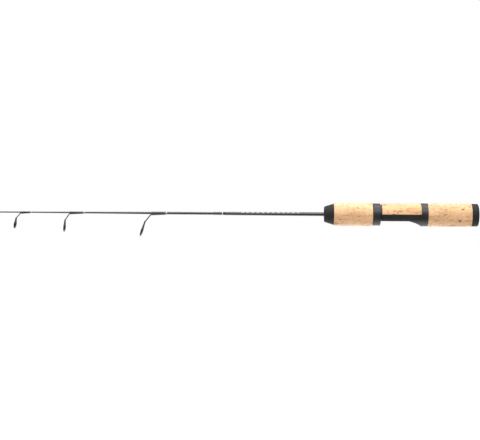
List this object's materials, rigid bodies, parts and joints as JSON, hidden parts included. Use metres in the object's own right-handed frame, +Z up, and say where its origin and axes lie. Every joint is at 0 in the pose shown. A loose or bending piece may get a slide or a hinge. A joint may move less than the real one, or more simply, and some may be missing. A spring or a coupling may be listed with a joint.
{
  "type": "ice fishing rod",
  "caption": "Short ice fishing rod: tapered black blank, hanging single-foot line guides and a cork handle whose twisting fore grip drives a sliding reel-seat hood.",
  "frame": {"origin": "centre of the flat end of the butt cap", "axes": "+X along the rod from tip to butt, +Z up away from the line guides, +Y to the far side"},
  "size_m": [0.6097, 0.0288, 0.0427],
  "materials": {
    "blank": "gloss clear coat over glass fibre",
    "blank_butt": "gloss clear coat over carbon and glass fibre",
    "thread": "nylon thread under clear epoxy",
    "trim": "metallic silver thread under clear epoxy",
    "guide_metal": "black nickel plate",
    "ring": "polished black oxide",
    "seat_plastic": "fine moulded satin",
    "nut_plastic": "moulded",
    "spring_steel": "spring steel",
    "cap_rubber": "dense foam rubber, fine speckle",
    "grip_cork": "sanded natural cork with pits",
    "inlay_cork": "sanded natural cork with pits",
    "arbor_foam": "rigid foam"
  },
  "bodies": {
    "rod": {"blank_tip_section": "blank", "blank_butt_section": "blank_butt", "splice_wrap": "thread", "splice_trim_band": "trim", "tip_top_tube": "guide_metal", "tip_top_frame": "guide_metal", "tip_top_ring": "ring", "tip_top_wrap": "thread", "tip_top_trim_band": "trim", "seat_body": "seat_plastic", "seat_inlay": "inlay_cork", "arbor_front": "arbor_foam", "arbor_middle": "arbor_foam", "arbor_rear": "arbor_foam", "butt_cap": "cap_rubber", "guide_1_frame": "guide_metal", "guide_1_ring": "ring", "guide_1_wrap": "thread", "guide_1_trim_band": "trim", "guide_2_frame": "guide_metal", "guide_2_ring": "ring", "guide_2_wrap": "thread", "guide_2_trim_band": "trim", "guide_3_frame": "guide_metal", "guide_3_ring": "ring", "guide_3_wrap": "thread", "guide_3_trim_band": "trim", "rear_cork_ring_1": "grip_cork", "rear_cork_ring_2": "grip_cork", "rear_cork_ring_3": "grip_cork", "rear_cork_ring_4": "grip_cork"},
    "hood": {"front_hood": "seat_plastic"},
    "fore_grip": {"lock_nut": "nut_plastic", "retaining_clip": "spring_steel", "fore_cap": "cap_rubber", "fore_cork_ring_1": "grip_cork", "fore_cork_ring_2": "grip_cork", "fore_cork_ring_3": "grip_cork", "fore_cork_ring_4": "grip_cork"}
  },
  "joints": [
    {"name": "hood_slide", "type": "slide", "parent": "rod", "child": "hood", "axis": [1, 0, 0], "range_m": [-0.0125, 0.0015]},
    {"name": "grip_twist", "type": "hinge", "parent": "hood", "child": "fore_grip", "pos_m": [-0.154, 0, 0], "axis": [1, 0, 0], "range_deg": [-1440, 168]}
  ],
  "couplings": [
    {"joint": "hood_slide", "follows": "grip_twist", "m_per_rad": 0.00047746}
  ]
}
